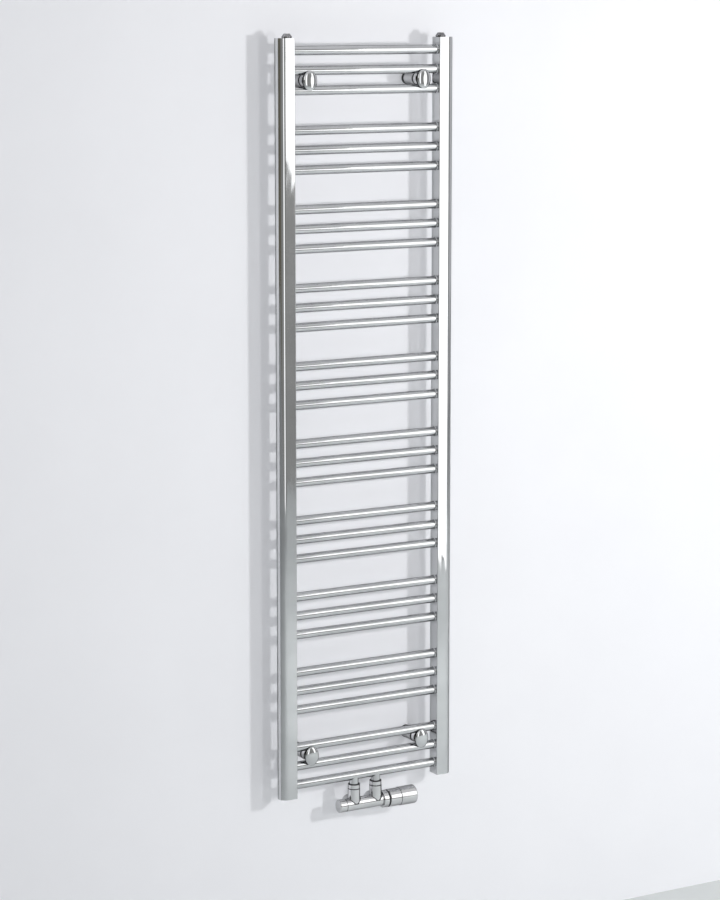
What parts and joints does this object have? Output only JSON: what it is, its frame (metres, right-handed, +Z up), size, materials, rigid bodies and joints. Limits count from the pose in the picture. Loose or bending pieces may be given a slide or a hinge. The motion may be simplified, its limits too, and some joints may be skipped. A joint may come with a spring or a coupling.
{
  "type": "towel radiator",
  "caption": "Wall-hung chrome ladder radiator with D-profile headers, round rails in banks and a centre-connected thermostatic twin valve.",
  "frame": {"origin": "centre of the rectangle of the four wall fixings, on the wall plane", "axes": "+Z up along the headers, +Y into the wall, +X along the rails to the right as seen from the room"},
  "size_m": [0.393, 0.074, 1.5633],
  "materials": {
    "chrome_headers": "polished chrome plate on welded steel",
    "chrome_rails": "polished chrome plate on steel tube",
    "chrome_plugs": "chrome plate on brass",
    "chrome_brackets": "chrome plate on zinc casting",
    "chrome_valve": "chrome plate on brass",
    "chrome_head": "chrome plate on moulded plastic",
    "bracket_zinc": "plain zinc casting",
    "plain_steel": "zinc-plated steel",
    "dark_steel": "blackened steel",
    "spring_steel": "stainless steel",
    "bright_brass": "machined brass",
    "sensor_metal": "drawn capsule",
    "seal_rubber": "moulded EPDM"
  },
  "bodies": {
    "wall_feet": {"bracket_bases": "bracket_zinc"},
    "radiator": {"left_header": "chrome_headers", "right_header": "chrome_headers", "rail_01": "chrome_rails", "rail_02": "chrome_rails", "rail_03": "chrome_rails", "rail_04": "chrome_rails", "rail_05": "chrome_rails", "rail_06": "chrome_rails", "rail_07": "chrome_rails", "rail_08": "chrome_rails", "rail_09": "chrome_rails", "rail_10": "chrome_rails", "rail_11": "chrome_rails", "rail_12": "chrome_rails", "rail_13": "chrome_rails", "rail_14": "chrome_rails", "rail_15": "chrome_rails", "rail_16": "chrome_rails", "rail_17": "chrome_rails", "rail_18": "chrome_rails", "rail_19": "chrome_rails", "rail_20": "chrome_rails", "rail_21": "chrome_rails", "rail_22": "chrome_rails", "rail_23": "chrome_rails", "rail_24": "chrome_rails", "rail_25": "chrome_rails", "rail_26": "chrome_rails", "rail_27": "chrome_rails", "rail_28": "chrome_rails", "rail_29": "chrome_rails", "rail_30": "chrome_rails", "header_end_caps": "chrome_headers", "flow_baffle": "plain_steel", "air_vent_body": "chrome_plugs", "blind_plug": "chrome_plugs", "sealing_washers": "seal_rubber", "bracket_sleeves": "chrome_brackets", "bracket_grub_screws": "dark_steel", "bracket_rear_cups": "chrome_brackets", "bracket_clamps": "chrome_brackets", "bracket_bolts": "plain_steel", "bracket_caps": "chrome_brackets", "connection_stubs": "chrome_headers", "union_tails": "chrome_valve", "union_nuts": "chrome_valve", "valve_body": "chrome_valve", "thermostatic_insert": "bright_brass", "pin_spring": "spring_steel", "lockshield_insert": "bright_brass", "head_union_nut": "chrome_valve", "head_base": "chrome_head"},
    "bleed_screw": {"air_vent_screw": "bright_brass"},
    "handwheel": {"head_knob": "chrome_head"},
    "sensor": {"sensor_element": "sensor_metal"},
    "pin": {"valve_pin": "spring_steel"},
    "lockshield_stem": {"lockshield_stem": "bright_brass"},
    "lockshield_cone": {"lockshield_cone": "seal_rubber"},
    "lockshield_cap": {"lockshield_cap": "chrome_valve"}
  },
  "joints": [
    {"name": "bracket_reach", "type": "slide", "parent": "wall_feet", "child": "radiator", "axis": [0, -1, 0], "range_m": [0, 0.012]},
    {"name": "handwheel_turn", "type": "hinge", "parent": "radiator", "child": "handwheel", "pos_m": [0, -0.055, -0.7858], "axis": [1, 0, 0], "range_deg": [-150, 150]},
    {"name": "sensor_slide", "type": "slide", "parent": "radiator", "child": "sensor", "axis": [1, 0, 0], "range_m": [-0.0013, 0.0013]},
    {"name": "pin_slide", "type": "slide", "parent": "radiator", "child": "pin", "axis": [1, 0, 0], "range_m": [-0.0013, 0.0013], "deforming": ["pin_spring"]},
    {"name": "lockshield_turn", "type": "hinge", "parent": "radiator", "child": "lockshield_stem", "pos_m": [0, -0.055, -0.7858], "axis": [-1, 0, 0], "range_deg": [-720, 0]},
    {"name": "lockshield_cone_slide", "type": "slide", "parent": "radiator", "child": "lockshield_cone", "axis": [-1, 0, 0], "range_m": [-0.00165, 0]},
    {"name": "lockshield_cap_off", "type": "slide", "parent": "radiator", "child": "lockshield_cap", "axis": [-1, 0, 0], "range_m": [0, 0.03]},
    {"name": "bleed_screw_turn", "type": "hinge", "parent": "radiator", "child": "bleed_screw", "pos_m": [0.1715, -0.055, 0.75], "axis": [0, 0, 1], "range_deg": [0, 360]}
  ],
  "couplings": [
    {"joint": "sensor_slide", "follows": "handwheel_turn", "m_per_rad": 0.00047746},
    {"joint": "pin_slide", "follows": "handwheel_turn", "m_per_rad": 0.00047746},
    {"joint": "lockshield_cone_slide", "follows": "lockshield_turn", "m_per_rad": 0.00012732}
  ]
}
